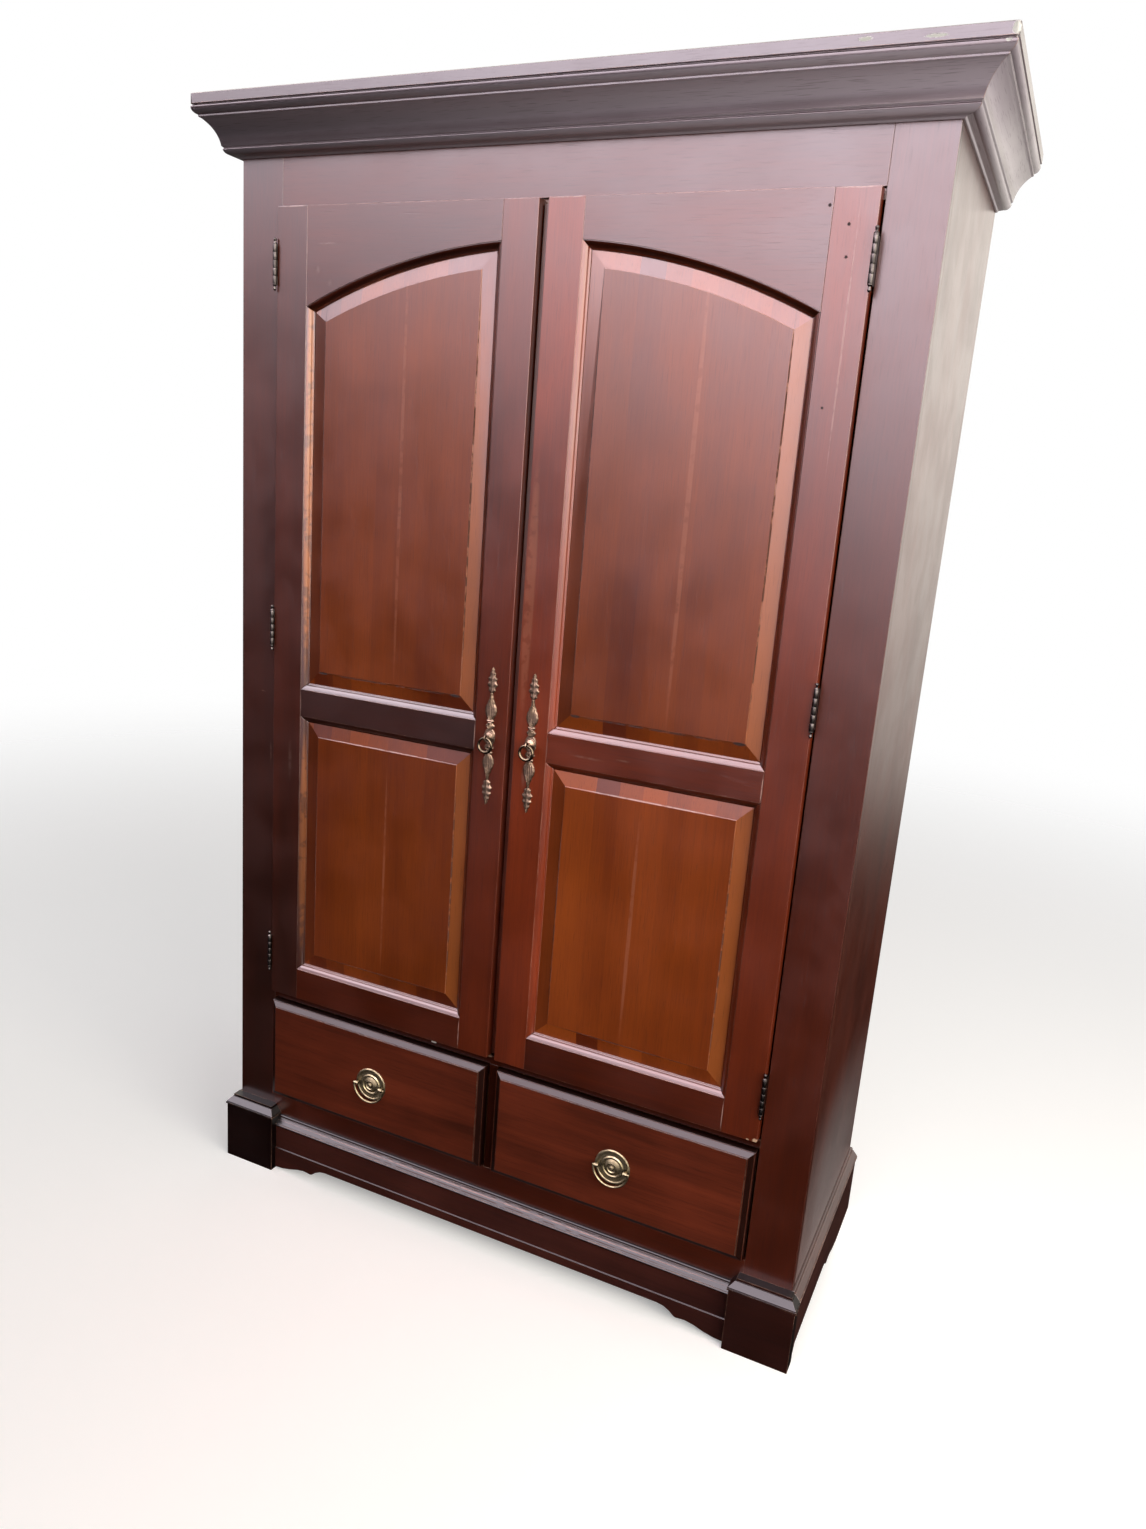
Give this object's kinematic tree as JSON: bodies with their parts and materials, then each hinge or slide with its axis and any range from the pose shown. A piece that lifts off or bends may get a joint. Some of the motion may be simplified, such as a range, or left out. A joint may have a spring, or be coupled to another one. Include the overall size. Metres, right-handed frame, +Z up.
{
  "type": "two-door armoire with drawers",
  "caption": "Tall wooden armoire: arched raised-panel doors over drawers, moulded cornice and footed base, brass pulls and hinges.",
  "frame": {"origin": "middle of the cabinet's whole footprint, on the floor", "axes": "+Z up, -Y the front with the doors, +X the viewer's right"},
  "size_m": [1.324, 0.558, 2.04],
  "materials": {
    "frame_wood": "satin lacquer",
    "panel_wood": "satin lacquer",
    "plinth_wood": "satin lacquer",
    "cornice_wood": "satin lacquer",
    "inner_wood": "satin",
    "back_wood": "plain",
    "drawer_box_wood": "plain",
    "hinge_brass": "antiqued",
    "door_pull_brass": "antiqued",
    "drawer_pull_brass": "antiqued",
    "rail_steel": "brushed"
  },
  "bodies": {
    "carcass": {"back_panel": "back_wood", "carcass_top": "inner_wood", "deck_board": "inner_wood", "bottom_board": "inner_wood", "centre_partition": "inner_wood", "frieze_rail": "frame_wood", "bottom_rail": "frame_wood", "door_stop": "inner_wood", "hat_shelf": "inner_wood", "clothes_rail": "rail_steel", "rail_sockets": "rail_steel", "cornice_top": "cornice_wood", "crown_front": "cornice_wood", "apron": "plinth_wood", "apron_moulding": "plinth_wood", "hinge_pins": "hinge_brass", "hinge_frame_leaves": "hinge_brass", "side_panel_left": "frame_wood", "side_panel_right": "frame_wood", "stile_left": "frame_wood", "stile_right": "frame_wood", "crown_left": "cornice_wood", "crown_right": "cornice_wood", "foot_left": "plinth_wood", "foot_right": "plinth_wood", "base_left": "plinth_wood", "base_right": "plinth_wood"},
    "door_left": {"door_left_hinge_stile": "frame_wood", "door_left_meeting_stile": "frame_wood", "door_left_top_rail": "frame_wood", "door_left_mid_rail": "frame_wood", "door_left_bottom_rail": "frame_wood", "door_left_upper_panel": "panel_wood", "door_left_lower_panel": "panel_wood", "door_left_hinge_leaves": "hinge_brass", "door_left_escutcheon": "door_pull_brass"},
    "drop_ring_left": {"door_left_drop_ring": "door_pull_brass"},
    "drawer_left": {"drawer_left_front": "frame_wood", "drawer_left_sides": "drawer_box_wood", "drawer_left_back": "drawer_box_wood", "drawer_left_bottom": "drawer_box_wood", "drawer_left_bail_plate": "drawer_pull_brass"},
    "bail_left": {"drawer_left_bail": "drawer_pull_brass"},
    "door_right": {"door_right_hinge_stile": "frame_wood", "door_right_meeting_stile": "frame_wood", "door_right_top_rail": "frame_wood", "door_right_mid_rail": "frame_wood", "door_right_bottom_rail": "frame_wood", "door_right_upper_panel": "panel_wood", "door_right_lower_panel": "panel_wood", "door_right_hinge_leaves": "hinge_brass", "door_right_escutcheon": "door_pull_brass", "door_right_meeting_strip": "frame_wood"},
    "drop_ring_right": {"door_right_drop_ring": "door_pull_brass"},
    "drawer_right": {"drawer_right_front": "frame_wood", "drawer_right_sides": "drawer_box_wood", "drawer_right_back": "drawer_box_wood", "drawer_right_bottom": "drawer_box_wood", "drawer_right_bail_plate": "drawer_pull_brass"},
    "bail_right": {"drawer_right_bail": "drawer_pull_brass"}
  },
  "joints": [
    {"name": "door_left_swing", "type": "hinge", "parent": "carcass", "child": "door_left", "pos_m": [-0.5115, -0.2382, 1.14], "axis": [0, 0, -1], "range_deg": [0, 110]},
    {"name": "drop_ring_left_swing", "type": "hinge", "parent": "door_left", "child": "drop_ring_left", "pos_m": [-0.04, -0.25, 1.016], "axis": [-1, 0, 0], "range_deg": [0, 80]},
    {"name": "drawer_left_slide", "type": "slide", "parent": "carcass", "child": "drawer_left", "axis": [0, -1, 0], "range_m": [0, 0.33]},
    {"name": "bail_left_swing", "type": "hinge", "parent": "drawer_left", "child": "bail_left", "pos_m": [-0.26, -0.244, 0.273], "axis": [-1, 0, 0], "range_deg": [0, 85]},
    {"name": "door_right_swing", "type": "hinge", "parent": "carcass", "child": "door_right", "pos_m": [0.5115, -0.2382, 1.14], "axis": [0, 0, 1], "range_deg": [0, 110]},
    {"name": "drop_ring_right_swing", "type": "hinge", "parent": "door_right", "child": "drop_ring_right", "pos_m": [0.04, -0.25, 1.016], "axis": [-1, 0, 0], "range_deg": [0, 80]},
    {"name": "drawer_right_slide", "type": "slide", "parent": "carcass", "child": "drawer_right", "axis": [0, -1, 0], "range_m": [0, 0.33]},
    {"name": "bail_right_swing", "type": "hinge", "parent": "drawer_right", "child": "bail_right", "pos_m": [0.26, -0.244, 0.273], "axis": [-1, 0, 0], "range_deg": [0, 85]}
  ]
}
